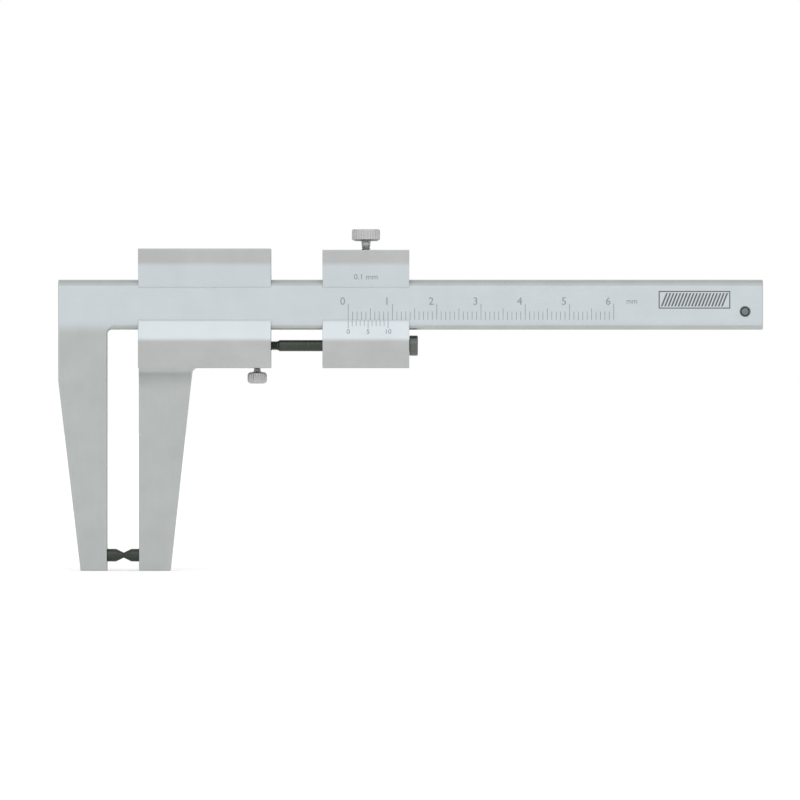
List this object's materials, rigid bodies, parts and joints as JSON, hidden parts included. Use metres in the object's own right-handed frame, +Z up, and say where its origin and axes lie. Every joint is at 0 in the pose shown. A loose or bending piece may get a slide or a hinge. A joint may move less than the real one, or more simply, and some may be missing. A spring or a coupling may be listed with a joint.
{
  "type": "vernier caliper",
  "caption": "Brake-disc vernier caliper: beam with fixed jaw, retractable moving jaw, vernier slider, stop rod, thumb screws and pointed measuring tips.",
  "frame": {"origin": "centre of the fixed jaw's flat end", "axes": "+X along the beam, the way the jaws open; +Y from the scale side to the back; +Z up from the jaw ends to the beam"},
  "size_m": [0.1594, 0.0074, 0.0772],
  "materials": {
    "satin_chrome": "satin chrome, the scale face lighter than the jaw",
    "slider_steel": "fine ground, matt",
    "screw_steel": "bright turned steel",
    "blackened_steel": "blackened, slightly oiled",
    "bronze": "drawn bronze strip and rod"
  },
  "bodies": {
    "beam": {"beam": "satin_chrome", "stop_screw": "blackened_steel", "fixed_tip": "blackened_steel"},
    "vernier_slider": {"vernier_slider": "slider_steel", "vernier_gib": "bronze", "vernier_set_screw_left": "screw_steel", "vernier_set_screw_right": "screw_steel"},
    "jaw_slider": {"jaw_slider": "slider_steel", "moving_tip": "blackened_steel", "jaw_gib": "bronze", "jaw_set_screw_left": "screw_steel", "jaw_set_screw_right": "screw_steel"},
    "stop_rod": {"stop_rod": "blackened_steel", "stop_collar": "blackened_steel"},
    "clamp_pad": {"clamp_pad": "bronze"},
    "clamp_screw": {"clamp_screw": "screw_steel"},
    "lock_pad": {"lock_pad": "bronze"},
    "lock_screw": {"lock_screw": "screw_steel"}
  },
  "joints": [
    {"name": "vernier_slide", "type": "slide", "parent": "beam", "child": "vernier_slider", "axis": [1, 0, 0], "range_m": [0, 0.0742]},
    {"name": "jaw_retract", "type": "slide", "parent": "vernier_slider", "child": "jaw_slider", "axis": [1, 0, 0], "range_m": [0, 0.0115]},
    {"name": "rod_set", "type": "slide", "parent": "jaw_slider", "child": "stop_rod", "axis": [1, 0, 0], "range_m": [0, 0.0015]},
    {"name": "clamp_feed", "type": "slide", "parent": "vernier_slider", "child": "clamp_pad", "axis": [0, 0, 1], "range_m": [0, 0.0008]},
    {"name": "clamp_turn", "type": "hinge", "parent": "clamp_pad", "child": "clamp_screw", "pos_m": [0.0615, 0, 0.0725], "axis": [0, 0, 1], "range_deg": [0, 720]},
    {"name": "lock_feed", "type": "slide", "parent": "jaw_slider", "child": "lock_pad", "axis": [0, 0, -1], "range_m": [0, 0.0007]},
    {"name": "lock_turn", "type": "hinge", "parent": "lock_pad", "child": "lock_screw", "pos_m": [0.0369, 0, 0.0458], "axis": [0, 0, -1], "range_deg": [0, 720]}
  ],
  "couplings": [
    {"joint": "clamp_turn", "follows": "clamp_feed", "rad_per_m": 15708},
    {"joint": "lock_turn", "follows": "lock_feed", "rad_per_m": 17952}
  ]
}
